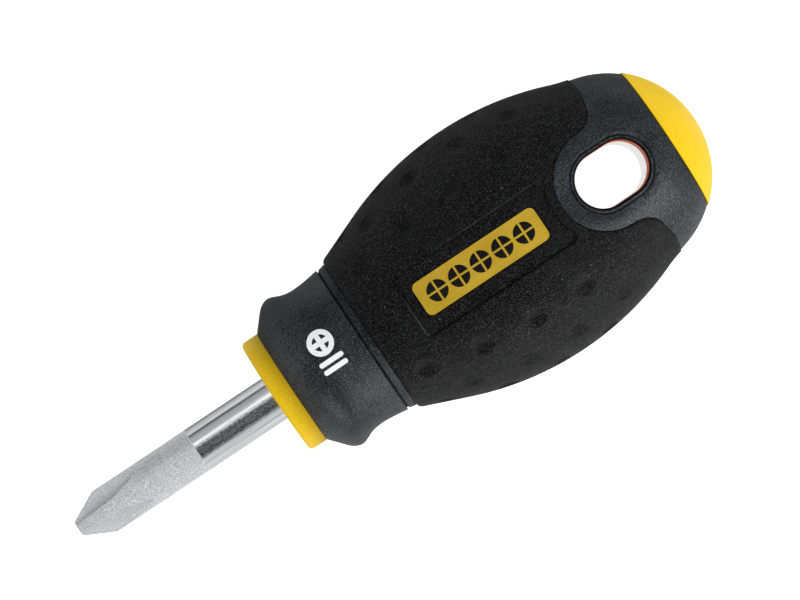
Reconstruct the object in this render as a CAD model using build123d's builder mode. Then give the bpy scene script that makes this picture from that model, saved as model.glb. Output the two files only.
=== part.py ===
from build123d import *
import os
from math import asin, cos, radians, sin, sqrt, tan

# Stubby cross-head screwdriver, size 2 x 30 mm, with a moulded three-material handle.
# Frame: the tip end is the origin, the blade's axis is X and the handle lies toward +X.
# +Z is the side that carries the nameplate. The hang hole runs along Z.

# ---- blade -------------------------------------------------------------------
shaft_radius = 3.0  # 6 mm bar, the standard shaft of a size 2 cross tip
shaft_end = 29.6  # where the bar enters the front collar
tip_flat_radius = 0.95
tip_chamfer_radius = 1.1
tip_chamfer_end = 0.15
cone_half_angle = 26.5
neck_radius = 2.75  # relief that the collar's lip closes on
flute_angle = 92.0
flute_depth = 4.0
flute_floor = 0.80  # distance of a flute's floor from the axis, at the tip
flute_slope = 4.0
flute_straight_end = 4.5
flute_cutter_radius = 11.5
flute_cutter_turn = 70.0  # far enough for the cutter to leave the bar
flute_cutter_lead = 7.2  # how far in front of the curve the straight cut starts
tang_start = 31.2
tang_end = 60.0
tang_across_flats = 5.19
tang_chamfer = 0.6
wing_start = 46.0
wing_end = 54.0
wing_span = 9.6
wing_thickness = 1.8

# ---- handle form: a cone, a barrel arc and a ball, all turned about X ---------
barrel_radius = 16.35
barrel_arc = 40.0
barrel_x = 65.0
shoulder_x = 50.0  # where the front cone touches the barrel arc
ball_radius = 13.06
ball_x = 79.5

# ---- stations along the handle ------------------------------------------------
collar_rear = 32.1
collar_radius = 7.93
collar_round = 0.55
nose_rear = 42.6
groove_rear = 42.8
groove_radius = 10.1
band_rear = 43.8
band_front_radius = 10.3
band_rear_radius = 10.53
grip_full_front = 44.3  # end of the grip's chamfered front edge
grip_rear = 82.0
grip_thickness = 2.4
tail_sink = 0.15  # the hard tail lies this much under the grip's surface
cap_front = 87.9
core_rear = 85.7

# ---- inner radii ----------------------------------------------------------------
spigot_radius = 5.5
core_front_radius = 6.5
core_radius = 7.5
rib_x = 55.5
rib_length = 20.0
rib_height = 0.8
rib_width = 1.6
rib_count = 6
cap_spigot_radius = 6.8
cap_bead = 0.25
cap_bead_half = 0.4

# ---- hang hole -------------------------------------------------------------------
hole_length = 9.7
hole_width = 7.05
bore_step = 0.04  # the core's bore is this much tighter all round than the shell's hole
boss_wall = 1.2
boss_height = 11.2
rim_chamfer = 0.4
rim_height = 0.5  # the rim's edges lie at least this far over the boss
rim_margin = 0.1  # and at most this far outside the hole

# ---- U-shaped edge of the grip round the hole --------------------------------------
u_centre_x = 78.6
u_radius = 6.65
corner_radius = 3.2
corner_turn = 60.0
corner_reach = 1.0  # how far the U's flank runs out past the corner's centre
beyond = 1.0  # cutters and blanks run this far past the stock
side_y = 20.0  # half width of blanks that are wider than the handle

# ---- label panel, nameplate and tip mark --------------------------------------------
panel_front = 49.7
panel_height = 8.8
panel_corner = 0.75
panel_sink = 0.25
panel_gap = 1.2  # strip of grip left between the panel and the U-shaped edge
plate_x = 60.1
plate_length = 17.8
plate_height = 4.6
plate_corner = 0.8
plate_depth = 0.8
plate_rise = 0.1
mark_front = 36.5
mark_height = 3.4
mark_stroke = 0.65
mark_thickness = 0.06
mark_ring_y = 2.6
mark_bars_y = (0.1, -0.95)

# ---- dimples --------------------------------------------------------------------------
dimple_radius = 2.2
dimple_depth = 0.42
dimple_pitch = 7.25
dimple_row_angles = (36.0, 57.6, 79.2, 100.8, 122.4, 144.0)
dimple_even_x = 47.4
dimple_odd_x = 51.1
dimples_in_row = 4

os.makedirs("parts", exist_ok=True)


def form_point(x, inset):
    """Radius at x of the handle's form, pulled in by inset."""
    arc = barrel_arc - inset
    centre_r = barrel_radius - barrel_arc
    lean = asin((barrel_x - shoulder_x) / barrel_arc)
    touch_x = barrel_x - arc * sin(lean)
    if x < touch_x:
        return centre_r + arc * cos(lean) - (touch_x - x) * tan(lean)
    barrel = centre_r + sqrt(arc**2 - (x - barrel_x) ** 2)
    ball = (ball_radius - inset) ** 2 - (x - ball_x) ** 2
    return max(barrel, sqrt(ball)) if x > ball_x and ball > 0 else barrel


def form_joint(inset):
    """The x where the barrel arc, pulled in by inset, meets the ball."""
    arc = barrel_arc - inset
    ball = ball_radius - inset
    low = ball_x
    high = ball_x + 0.5 * ball
    for _ in range(60):
        x = (low + high) / 2
        barrel = barrel_radius - barrel_arc + sqrt(arc**2 - (x - barrel_x) ** 2)
        if barrel > sqrt(ball**2 - (x - ball_x) ** 2):
            low = x
        else:
            high = x
    return low


def form_section(inset, front, rear):
    """Half section of the handle's form between two stations, closed along the axis."""
    lean = asin((barrel_x - shoulder_x) / barrel_arc)
    touch_x = barrel_x - (barrel_arc - inset) * sin(lean)
    joint_x = min(form_joint(inset), rear)
    top = (front, form_point(front, inset))
    with BuildSketch(Plane.XY, mode=Mode.PRIVATE) as half:
        with BuildLine():
            Line((front, 0), top)
            if front < touch_x:
                touch = (touch_x, form_point(touch_x, inset))
                Line(top, touch)
                top = touch
            middle_x = (top[0] + joint_x) / 2
            joint = (joint_x, form_point(joint_x, inset))
            ThreePointArc(top, (middle_x, form_point(middle_x, inset)), joint)
            if rear > joint_x:
                end = (rear, form_point(rear, inset))
                middle_x = (joint_x + rear) / 2
                ThreePointArc(joint, (middle_x, form_point(middle_x, inset)), end)
                joint = end
            Line(joint, (joint[0], 0))
            Line((joint[0], 0), (front, 0))
        make_face()
    return half.sketch


def turned(*points):
    """Half section through straight corners, ready to turn about X."""
    with BuildSketch(Plane.XY, mode=Mode.PRIVATE) as half:
        with BuildLine():
            Polyline(*points, close=True)
        make_face()
    return half.sketch


def nose_section(rise):
    """Half section of the nose sleeve, with its outer line moved out by rise."""
    flare = [(collar_rear, 7.95), (33.25, 9.3), (34.6, 10.6), (35.6, 10.87)]
    waist = [(37.0, 10.36), (39.1, 10.03), (41.0, 10.18), (nose_rear, 10.42)]
    outline = [(x, r + rise) for x, r in flare + waist]
    with BuildSketch(Plane.XY, mode=Mode.PRIVATE) as half:
        with BuildLine():
            Spline(*outline, tangents=[(1, 1.3), (1, 0.16)])
            Line(outline[-1], (nose_rear, 0))
            Line((nose_rear, 0), (collar_rear, 0))
            Line((collar_rear, 0), outline[0])
        make_face()
    return half.sketch


def obround(grow):
    """The hang hole's outline, grown by grow all round."""
    with BuildSketch(Plane.XY, mode=Mode.PRIVATE) as outline:
        with Locations((ball_x, 0)):
            SlotOverall(hole_length + 2 * grow, hole_width + 2 * grow)
    return outline.sketch


def tail_outline():
    """Plan of the hard tail: everything behind the grip's rear edge and inside the U."""
    corner_y = u_radius + corner_radius
    flank_y = corner_y + corner_reach
    turn = radians(corner_turn)
    out = (u_centre_x + corner_radius * sin(turn), corner_y - corner_radius * cos(turn))
    half_turn = turn / 2
    mid = (
        u_centre_x + corner_radius * sin(half_turn),
        corner_y - corner_radius * cos(half_turn),
    )
    with BuildSketch(Plane.XY, mode=Mode.PRIVATE) as plan:
        with BuildLine():
            ThreePointArc(
                (u_centre_x, -u_radius), (u_centre_x - u_radius, 0), (u_centre_x, u_radius)
            )
            ThreePointArc((u_centre_x, u_radius), mid, out)
            Line(out, (grip_rear, flank_y))
            Line((grip_rear, flank_y), (grip_rear, side_y))
            Line((grip_rear, side_y), (cap_front, side_y))
            Line((cap_front, side_y), (cap_front, -side_y))
            Line((cap_front, -side_y), (grip_rear, -side_y))
            Line((grip_rear, -side_y), (grip_rear, -flank_y))
            Line((grip_rear, -flank_y), (out[0], -out[1]))
            ThreePointArc((out[0], -out[1]), (mid[0], -mid[1]), (u_centre_x, -u_radius))
        make_face()
    return plan.sketch


def flute_plane(angle):
    """Plane square to a flute's floor where the floor starts to curve up."""
    slope = radians(flute_slope)
    reach = flute_floor + flute_straight_end * tan(slope)
    out = Vector(0, cos(radians(angle)), sin(radians(angle)))
    along = Vector(cos(slope), 0, 0) + out * sin(slope)
    across = out.cross(along)
    return Plane(
        origin=Vector(flute_straight_end, 0, 0) + out * reach,
        x_dir=across,
        z_dir=along,
    )


def flute_profile(plane):
    """V of the milling cutter: its point is on the flute's floor and it opens outward."""
    half_width = flute_depth * tan(radians(flute_angle / 2))
    with BuildSketch(plane, mode=Mode.PRIVATE) as vee:
        with BuildLine():
            Polyline((0, 0), (half_width, flute_depth), (-half_width, flute_depth), close=True)
        make_face()
    return vee.sketch


# ---- blade: one bar with the cross tip, a round shaft and a keyed tang ----------------
with BuildPart() as blade:
    cone_end = tip_chamfer_end + (shaft_radius - tip_chamfer_radius) / tan(
        radians(cone_half_angle)
    )
    revolve(
        turned(
            (0, 0),
            (0, tip_flat_radius),
            (tip_chamfer_end, tip_chamfer_radius),
            (cone_end, shaft_radius),
            (shaft_end, shaft_radius),
            (shaft_end, neck_radius),
            (tang_start, neck_radius),
            (tang_start, 0),
        ),
        axis=Axis.X,
    )
    with BuildSketch(Plane.YZ.offset(tang_start)):
        RegularPolygon(tang_across_flats / 2, 6, major_radius=False)
    extrude(amount=tang_end - tang_start)
    with BuildSketch(Plane.YZ.offset(wing_start)):
        Rectangle(wing_span, wing_thickness)
    extrude(amount=wing_end - wing_start)
    chamfer(blade.edges().group_by(Axis.X)[-1], tang_chamfer)
    for angle in (45, 135, 225, 315):
        plane = flute_plane(angle)
        vee = flute_profile(plane)
        extrude(vee, amount=-flute_cutter_lead, mode=Mode.SUBTRACT)
        centre = plane.origin + plane.y_dir * flute_cutter_radius
        hub = Axis(centre, plane.x_dir)
        revolve(vee, axis=hub, revolution_arc=-flute_cutter_turn, mode=Mode.SUBTRACT)
blade.part.label = "blade"
export_step(blade.part, "parts/blade.step")

# ---- end cap: the ball-ended dome with a snap spigot ----------------------------------
with BuildPart() as end_cap:
    cap_rim = sqrt(ball_radius**2 - (cap_front - ball_x) ** 2)
    cap_end = ball_x + ball_radius
    bead_x = (core_rear + cap_front) / 2
    with BuildSketch(Plane.XY):
        with BuildLine():
            Polyline(
                (cap_front, cap_rim),
                (cap_front, cap_spigot_radius),
                (bead_x + cap_bead_half, cap_spigot_radius),
                (bead_x, cap_spigot_radius + cap_bead),
                (bead_x - cap_bead_half, cap_spigot_radius),
                (core_rear, cap_spigot_radius),
                (core_rear, 0),
                (cap_end, 0),
            )
            lean = (asin((cap_front - ball_x) / ball_radius) + radians(90)) / 2
            middle = (ball_x + ball_radius * sin(lean), ball_radius * cos(lean))
            ThreePointArc((cap_end, 0), middle, (cap_front, cap_rim))
        make_face()
    revolve(axis=Axis.X)
end_cap.part.label = "end_cap"
export_step(end_cap.part, "parts/end_cap.step")

# ---- core: the first hard moulding, shot round the tang --------------------------------
with BuildPart() as core:
    revolve(
        turned(
            (tang_start, 0),
            (tang_start, spigot_radius),
            (collar_rear, spigot_radius),
            (collar_rear, core_front_radius),
            (nose_rear, core_front_radius),
            (nose_rear, core_radius),
            (core_rear, core_radius),
            (core_rear, 0),
        ),
        axis=Axis.X,
    )
    for n in range(rib_count):
        turn = Rotation(X=360 * n / rib_count)
        rib = turn * Location((rib_x, 0, core_radius))
        with Locations(rib):
            Box(rib_length, rib_width, 2 * rib_height)
    extrude(obround(boss_wall), amount=boss_height, both=True)
    extrude(obround(-bore_step), amount=barrel_radius, both=True, mode=Mode.SUBTRACT)
    add(blade.part, mode=Mode.SUBTRACT)
core.part.label = "core"
export_step(core.part, "parts/core.step")

# ---- front collar: the ring round the blade's exit ---------------------------------------
with BuildPart() as front_collar:
    revolve(
        turned(
            (shaft_end, neck_radius),
            (shaft_end, collar_radius),
            (collar_rear, collar_radius),
            (collar_rear, spigot_radius),
            (tang_start, spigot_radius),
            (tang_start, neck_radius),
        ),
        axis=Axis.X,
    )
    front_rim = front_collar.edges().filter_by(GeomType.CIRCLE).sort_by(Axis.X)
    outer = [edge for edge in front_rim if edge.radius > spigot_radius + beyond]
    fillet(outer[0], collar_round)
front_collar.part.label = "front_collar"
export_step(front_collar.part, "parts/front_collar.step")

# ---- nose sleeve: the flared finger guard -------------------------------------------------
with BuildPart() as nose_sleeve:
    revolve(nose_section(0), axis=Axis.X)
    revolve(
        turned(
            (collar_rear - beyond, 0),
            (collar_rear - beyond, core_front_radius),
            (nose_rear + beyond, core_front_radius),
            (nose_rear + beyond, 0),
        ),
        axis=Axis.X,
        mode=Mode.SUBTRACT,
    )
nose_sleeve.part.label = "nose_sleeve"
export_step(nose_sleeve.part, "parts/nose_sleeve.step")

# ---- body shell: the second hard moulding, from the front band to the tail -----------------
with BuildPart() as body_shell:
    revolve(form_section(grip_thickness, band_rear, grip_rear), axis=Axis.X)
    revolve(
        turned(
            (nose_rear, 0),
            (nose_rear, groove_radius),
            (groove_rear, groove_radius),
            (groove_rear, band_front_radius),
            (band_rear, band_rear_radius),
            (band_rear, 0),
        ),
        axis=Axis.X,
    )
    with BuildPart(mode=Mode.PRIVATE) as tail:
        revolve(form_section(tail_sink, u_centre_x - u_radius - beyond, cap_front), axis=Axis.X)
        extrude(tail_outline(), amount=barrel_radius, both=True, mode=Mode.INTERSECT)
    add(tail.part)
    revolve(
        turned(
            (nose_rear - beyond, 0),
            (nose_rear - beyond, core_radius),
            (core_rear, core_radius),
            (core_rear, cap_spigot_radius),
            (cap_front + beyond, cap_spigot_radius),
            (cap_front + beyond, 0),
        ),
        axis=Axis.X,
        mode=Mode.SUBTRACT,
    )
    extrude(obround(0), amount=2 * barrel_radius, both=True, mode=Mode.SUBTRACT)
    add(core.part, mode=Mode.SUBTRACT)
    add(end_cap.part, mode=Mode.SUBTRACT)
    rim = [
        edge
        for edge in body_shell.edges().filter_by(Axis.Z, reverse=True)
        if abs(edge.center().Z) > boss_height + rim_height
        and abs(edge.center().X - ball_x) < hole_length / 2 + rim_margin
        and abs(edge.center().Y) < hole_width / 2 + rim_margin
    ]
    chamfer(rim, rim_chamfer)
body_shell.part.label = "body_shell"
export_step(body_shell.part, "parts/body_shell.step")


def panel_outline():
    """Plan of the label panel, with a rear end that follows the U-shaped edge."""
    half = panel_height / 2
    rear_arc = u_radius + panel_gap
    rear_x = u_centre_x - sqrt(rear_arc**2 - half**2)
    with BuildSketch(Plane.XY, mode=Mode.PRIVATE) as plan:
        with BuildLine():
            Polyline((rear_x, half), (panel_front, half), (panel_front, -half), (rear_x, -half))
            ThreePointArc((rear_x, -half), (u_centre_x - rear_arc, 0), (rear_x, half))
        make_face()
        fillet(plan.vertices(), panel_corner)
    return plan.sketch


# ---- nameplate: a curved label let into the panel -------------------------------------------
with BuildPart() as nameplate:
    revolve(form_section(panel_sink - plate_rise, panel_front, u_centre_x), axis=Axis.X)
    revolve(
        form_section(panel_sink + plate_depth, panel_front, u_centre_x),
        axis=Axis.X,
        mode=Mode.SUBTRACT,
    )
    with BuildSketch(Plane.XY):
        with Locations((plate_x, 0)):
            RectangleRounded(plate_length, plate_height, plate_corner)
    extrude(amount=2 * barrel_radius, mode=Mode.INTERSECT)
nameplate.part.label = "nameplate"
export_step(nameplate.part, "parts/nameplate.step")

# ---- grip: the soft third moulding over the belly ---------------------------------------------
with BuildPart() as grip:
    revolve(form_section(0, grip_full_front, grip_rear), axis=Axis.X)
    revolve(
        turned(
            (band_rear, 0),
            (band_rear, band_rear_radius),
            (grip_full_front, form_point(grip_full_front, 0)),
            (grip_full_front, 0),
        ),
        axis=Axis.X,
    )
    revolve(
        form_section(grip_thickness, band_rear - beyond, grip_rear + beyond),
        axis=Axis.X,
        mode=Mode.SUBTRACT,
    )
    extrude(tail_outline(), amount=2 * barrel_radius, both=True, mode=Mode.SUBTRACT)
    with BuildPart(mode=Mode.PRIVATE) as panel_cut:
        extrude(panel_outline(), amount=2 * barrel_radius)
        revolve(
            form_section(panel_sink, panel_front - beyond, u_centre_x),
            axis=Axis.X,
            mode=Mode.SUBTRACT,
        )
    add(panel_cut.part, mode=Mode.SUBTRACT)
    add(nameplate.part, mode=Mode.SUBTRACT)
    for row, angle in enumerate(dimple_row_angles):
        for n in range(dimples_in_row):
            x = (dimple_odd_x if row % 2 else dimple_even_x) + n * dimple_pitch
            out = form_point(x, 0) + dimple_radius - dimple_depth
            for side in (-1, 1):
                with Locations(Rotation(X=side * angle) * Location((x, 0, out))):
                    Sphere(dimple_radius, mode=Mode.SUBTRACT)
grip.part.label = "grip"
export_step(grip.part, "parts/grip.step")

# ---- tip mark: printed ring with a cross, and two bars --------------------------------------------
with BuildPart() as tip_mark:
    mark_x = mark_front + mark_height / 2
    with BuildSketch(Plane.XY):
        with Locations((mark_x, mark_ring_y)):
            Circle(mark_height / 2)
            Circle(mark_height / 2 - mark_stroke, mode=Mode.SUBTRACT)
            Rectangle(mark_height - mark_stroke, mark_stroke)
            Rectangle(mark_stroke, mark_height - mark_stroke)
        with Locations(*[(mark_x, y) for y in mark_bars_y]):
            SlotOverall(mark_height, mark_stroke)
    extrude(amount=barrel_radius)
    revolve(nose_section(mark_thickness), axis=Axis.X, mode=Mode.INTERSECT)
    revolve(nose_section(0), axis=Axis.X, mode=Mode.SUBTRACT)
tip_mark.part.label = "tip_mark"
export_step(tip_mark.part, "parts/tip_mark.step")
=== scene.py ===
"""Looks for the stubby cross-head screwdriver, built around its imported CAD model.

Shapes are worked out in millimetres and turned into metres when a mesh is made. A point of the
handle is given by x, along the blade's axis, and turn, the angle round it from the nameplate side.
"""

from math import asin, cos, pi, radians, sin, sqrt, tan

import bmesh
import bpy
import numpy as np
from mathutils import Matrix, Vector
from mathutils.geometry import delaunay_2d_cdt
from mathutils.kdtree import KDTree


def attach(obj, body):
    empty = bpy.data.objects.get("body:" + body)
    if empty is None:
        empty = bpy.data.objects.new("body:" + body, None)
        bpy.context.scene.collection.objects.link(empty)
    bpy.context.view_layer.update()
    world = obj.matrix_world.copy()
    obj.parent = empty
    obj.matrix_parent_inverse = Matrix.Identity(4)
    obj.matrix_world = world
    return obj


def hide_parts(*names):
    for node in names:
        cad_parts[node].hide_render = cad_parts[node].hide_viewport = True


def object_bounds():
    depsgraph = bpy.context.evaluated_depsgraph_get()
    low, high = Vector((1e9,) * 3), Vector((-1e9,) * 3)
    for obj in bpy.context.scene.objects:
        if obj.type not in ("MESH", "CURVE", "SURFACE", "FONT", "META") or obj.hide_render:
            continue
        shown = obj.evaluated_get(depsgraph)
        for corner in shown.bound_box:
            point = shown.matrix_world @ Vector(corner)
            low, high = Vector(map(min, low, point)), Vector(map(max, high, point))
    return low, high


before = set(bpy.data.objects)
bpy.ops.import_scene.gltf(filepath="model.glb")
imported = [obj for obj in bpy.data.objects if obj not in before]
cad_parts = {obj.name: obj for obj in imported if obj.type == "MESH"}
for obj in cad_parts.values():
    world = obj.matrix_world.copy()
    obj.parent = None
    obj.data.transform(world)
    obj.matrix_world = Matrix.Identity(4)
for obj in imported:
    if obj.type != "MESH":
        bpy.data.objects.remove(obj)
cad_box = [list(corner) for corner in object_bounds()]

MM = 0.001
PLAIN_RADIUS = 14.0  # the flat plan of the handle is drawn as if its radius were this all along

# ---- sizes that the CAD model also has ----
SHAFT_RADIUS, SHAFT_END, NECK_RADIUS = 3.0, 29.6, 2.75
TANG_START, TANG_END, TANG_FLATS = 31.2, 60.0, 5.19
WING_START, WING_END, WING_SPAN, WING_THICKNESS = 46.0, 54.0, 9.6, 1.8
TIP_FLAT, TIP_CHAMFER, TIP_CHAMFER_END, CONE_ANGLE = 0.95, 1.1, 0.15, radians(26.5)
FLUTE_FLOOR, FLUTE_SLOPE, FLUTE_STRAIGHT = 0.80, radians(4.0), 4.5
FLUTE_CUTTER, FLUTE_HALF = 11.5, radians(46.0)

BARREL_RADIUS, BARREL_ARC, BARREL_X, SHOULDER_X = 16.35, 40.0, 65.0, 50.0
BALL_RADIUS, BALL_X = 13.06, 79.5
COLLAR_REAR, COLLAR_RADIUS, COLLAR_ROUND, SPIGOT_RADIUS = 32.1, 7.93, 0.55, 5.5
NOSE_REAR, GROOVE_REAR, GROOVE_RADIUS, NOSE_BORE = 42.6, 42.8, 10.1, 6.5
BAND_REAR, BAND_FRONT_RADIUS, BAND_REAR_RADIUS = 43.8, 10.3, 10.53
GRIP_REAR, GRIP_THICKNESS, TAIL_SINK = 82.0, 2.4, 0.15
CAP_FRONT, CORE_REAR, CORE_RADIUS, CAP_SPIGOT = 87.9, 85.7, 7.5, 6.8
HOLE_LENGTH, HOLE_WIDTH, BOSS_WALL, BOSS_HEIGHT = 9.7, 7.05, 1.2, 11.2
HOLE_HALF = (HOLE_LENGTH - HOLE_WIDTH) / 2  # from the hole's middle to the centre of an end
U_CENTRE_X, U_RADIUS, CORNER_RADIUS, CORNER_TURN, CORNER_REACH = 78.6, 6.65, 3.2, radians(60), 1.0
PANEL_FRONT, PANEL_HALF, PANEL_CORNER, PANEL_SINK, PANEL_REAR_ARC = 49.7, 4.4, 0.75, 0.25, 7.85
PLATE_X, PLATE_LENGTH, PLATE_HEIGHT, PLATE_CORNER = 60.1, 17.8, 4.6, 0.8
PLATE_SINK, PLATE_FLOOR = 0.19, 1.05
DIMPLE_RADIUS, DIMPLE_PITCH, DIMPLE_COUNT = 2.2, 7.25, 4
DIMPLE_ANGLES, DIMPLE_STARTS = (36.0, 57.6, 79.2, 100.8, 122.4, 144.0), (47.4, 51.1)

# ---- finish details ----
CREASE = 0.5  # width of the blend where the barrel meets the ball
FRONT_LIP, REAR_LIP, TAIL_LIP, CAP_LIP, BAND_LIPS = 0.5, 0.24, 0.26, 0.12, (0.1, 0.08)
SIDE_LIP = 0.4  # share of the rear and tail lips that is left over the sides
PANEL_EDGE, PANEL_LINE, PANEL_LINE_DEPTH, PANEL_LINE_IN = 0.11, 0.16, 0.13, 0.05
PANEL_FRONT_ZONE = 0.3  # the panel's edge this far behind its front counts as its front edge
PLATE_GAP, PLATE_GAP_DEPTH, PLATE_GAP_CURVE = 0.14, 0.22, 0.7
PLATE_LIP, PLATE_RIM_RISE, PLATE_RIM_WIDTH, PLATE_RIM_SLOPE = 0.05, 0.03, 0.16, 0.05
RIM_ROUND, DISH_DEPTH, DISH_WIDTH, DISH_REACH = 0.45, 0.34, 1.9, 4.0
RIM_GROOVE, RIM_GROOVE_HALF, RIM_GROOVE_DEPTH = 0.62, 0.19, 0.2
DIMPLE_SOFT_DEPTH, DIMPLE_BLEND, DIMPLE_REACH = 0.50, 0.12, 1.9
# painted shade stored per point in the grip's dimples and panel line; the blade stores painted
# light in its flutes under the same name
HOLLOWS, HOLLOW_SHADE, HOLLOW_RADIUS = "hollows", 0.6, 1.1
# painted highlight along the panel's front and left edges: its width, its strengths, and where and
# how it fades
PAINTED_EDGE_LIGHT, EDGE_LIGHT_WIDTH, EDGE_LIGHT_FRONT, EDGE_LIGHT_LEFT = "painted_edge_light", 0.10, 0.65, 0.17
EDGE_LIGHT_FRONT_FADE, EDGE_LIGHT_LEFT_Y, EDGE_LIGHT_LEFT_X, EDGE_LIGHT_LEFT_FADE = 4.0, 3.0, 55.0, 6.0

# ---- how the meshes are made ----
LINE_STEP, FINE_STEP = 0.2, 0.42
EDGE_GAP = 0.03  # loose points closer to a patch's edge than this are left out
HAIR = 0.005  # a point this near to a line counts as on it
BEND_MARGIN = 0.3  # the close points beside a bend, as a share of its radius


def soft_max(a, b, width):
    """The larger of two values, with a rounded change between them."""
    share = np.maximum(width - np.abs(a - b), 0) / width
    return np.maximum(a, b) + share**2 * width / 4


def form(x, inset=0.0):
    """Radius of the handle's form at x, pulled in by inset."""
    arc = BARREL_ARC - inset
    rise = BARREL_RADIUS - BARREL_ARC
    lean = asin((BARREL_X - SHOULDER_X) / BARREL_ARC)
    touch = BARREL_X - arc * sin(lean)
    cone = rise + arc * cos(lean) - (touch - x) * tan(lean)
    barrel = rise + np.sqrt(np.maximum(arc**2 - (x - BARREL_X) ** 2, 0))
    ball = np.sqrt(np.maximum((BALL_RADIUS - inset) ** 2 - (x - BALL_X) ** 2, 0))
    back = np.where(x > BALL_X, soft_max(barrel, ball, CREASE), barrel)
    return np.where(x < touch, cone, back)


def lip(distance, radius):
    """How far a rounded edge of that radius falls at a distance from the edge."""
    short = np.clip(radius - distance, 0, radius)
    return radius - np.sqrt(radius**2 - short**2)


def flat_share(turn):
    """How much of a lip is left where the grip's rear edge runs over the sides."""
    return SIDE_LIP + (1 - SIDE_LIP) * np.cos(turn) ** 2


def polar(x, turn, radius):
    return np.column_stack([x, radius * np.sin(turn), radius * np.cos(turn)])


# ---- lines drawn on the handle ----
def arc_points(cx, cy, radius, start, end, count):
    angles = np.linspace(start, end, count)
    return np.column_stack([cx + radius * np.cos(angles), cy + radius * np.sin(angles)])


def run(start, end, count):
    return np.linspace(start, end, count)


def across(x, count):
    """A line round half the handle at one station."""
    return run((x, 0), (x, pi), count)


def join(*lines):
    """One line from several that start where the one before ends."""
    return np.vstack([lines[0], *[line[1:] for line in lines[1:]]])


def even(line, step):
    """The same line with points at an even step along it."""
    lengths = np.hypot(*np.diff(line, axis=0).T)
    along = np.concatenate([[0], np.cumsum(lengths)])
    count = max(2, int(round(along[-1] / step)) + 1)
    at = np.linspace(0, along[-1], count)
    return np.column_stack([np.interp(at, along, line[:, k]) for k in (0, 1)])


def onto(plan, inset=0.0):
    """(x, turn) of a line given in plan, on the nameplate side."""
    return np.column_stack([plan[:, 0], np.arcsin(plan[:, 1] / form(plan[:, 0], inset))])


def to_back(line):
    return np.column_stack([line[:, 0], pi - line[:, 1]])[::-1]


def tail_edge(step):
    """The grip's rear edge from the nameplate side round to the back."""
    corner_y = U_RADIUS + CORNER_RADIUS
    u_arc = arc_points(U_CENTRE_X, 0, U_RADIUS, pi, pi / 2, 60)
    corner = arc_points(U_CENTRE_X, corner_y, CORNER_RADIUS, -pi / 2, CORNER_TURN - pi / 2, 30)
    flank = run(corner[-1], (GRIP_REAR, corner_y + CORNER_REACH), 12)
    front = onto(even(join(u_arc, corner, flank), step))
    radius = float(form(GRIP_REAR))
    count = int((pi - 2 * front[-1, 1]) * radius / step)
    side = run(front[-1], (GRIP_REAR, pi - front[-1, 1]), count)
    return join(front, side, to_back(front))


def panel_edge(step):
    """Half outline of the label panel, from its front middle to its rear middle."""
    low = PANEL_HALF - PANEL_CORNER
    reach = PANEL_REAR_ARC + PANEL_CORNER
    centre_x = U_CENTRE_X - sqrt(reach**2 - low**2)
    swing = asin(low / reach)
    outline = join(
        run((PANEL_FRONT, 0), (PANEL_FRONT, low), 20),
        arc_points(PANEL_FRONT + PANEL_CORNER, low, PANEL_CORNER, pi, pi / 2, 10),
        run((PANEL_FRONT + PANEL_CORNER, PANEL_HALF), (centre_x, PANEL_HALF), 80),
        arc_points(centre_x, low, PANEL_CORNER, pi / 2, -swing, 16),
        arc_points(U_CENTRE_X, 0, PANEL_REAR_ARC, pi - swing, pi, 20),
    )
    return onto(even(outline, step))


def plate_edge(step, grow=0.0):
    """Half outline of the nameplate, from its front middle to its rear middle."""
    half, reach = PLATE_HEIGHT / 2 + grow, PLATE_LENGTH / 2 + grow
    corner = PLATE_CORNER + grow
    low = half - corner
    outline = join(
        run((PLATE_X - reach, 0), (PLATE_X - reach, low), 10),
        arc_points(PLATE_X - reach + corner, low, corner, pi, pi / 2, 12),
        run((PLATE_X - reach + corner, half), (PLATE_X + reach - corner, half), 60),
        arc_points(PLATE_X + reach - corner, low, corner, pi / 2, 0, 12),
        run((PLATE_X + reach, low), (PLATE_X + reach, 0), 10),
    )
    return onto(even(outline, step), PLATE_SINK)


def hole_edge(grow=0.0):
    """Half outline of the hang hole in plan, from its rear end to its front end."""
    radius = HOLE_WIDTH / 2 + grow
    return join(
        arc_points(BALL_X + HOLE_HALF, 0, radius, 0, pi / 2, 30),
        run((BALL_X + HOLE_HALF, radius), (BALL_X - HOLE_HALF, radius), 14),
        arc_points(BALL_X - HOLE_HALF, 0, radius, pi / 2, pi, 30),
    )


def hole_distance(x, y):
    """Distance in plan from the hang hole's outline."""
    return np.hypot(np.maximum(np.abs(x - BALL_X) - HOLE_HALF, 0), y) - HOLE_WIDTH / 2


def away(x, turn, line):
    """Distance over the surface from each point to a line of (x, turn) points."""
    radius = form(x)
    best = np.full(len(x), 1e9)
    for (xa, ta), (xb, tb) in zip(line[:-1], line[1:]):
        px, py = x - xa, (turn - ta) * radius
        dx, dy = xb - xa, (tb - ta) * radius
        part = np.clip((px * dx + py * dy) / (dx * dx + dy * dy + 1e-12), 0, 1)
        best = np.minimum(best, np.hypot(px - part * dx, py - part * dy))
    return best


def inside(x, y, ring):
    """Which points lie inside a closed ring."""
    hit = np.zeros(len(x), bool)
    for (ax, ay), (bx, by) in zip(ring, np.roll(ring, -1, axis=0)):
        if ay != by:
            crosses = (ay > y) != (by > y)
            hit ^= crosses & (x < ax + (y - ay) / (by - ay) * (bx - ax))
    return hit


def closed(line):
    """A ring from a half outline, closed well below the middle line."""
    return np.vstack([[[line[0, 0], -1.0]], line, [[line[-1, 0], -1.0]]])


def rows(line, offsets):
    """Points beside a line of (x, turn) points, at distances to its right."""
    radius = form(line[:, 0])
    ahead = np.gradient(line, axis=0)
    ahead[:, 1] *= radius
    ahead /= np.hypot(*ahead.T)[:, None]
    beside = np.column_stack([ahead[:, 1], -ahead[:, 0] / radius])
    return np.vstack([line + beside * d for d in offsets])


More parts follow.
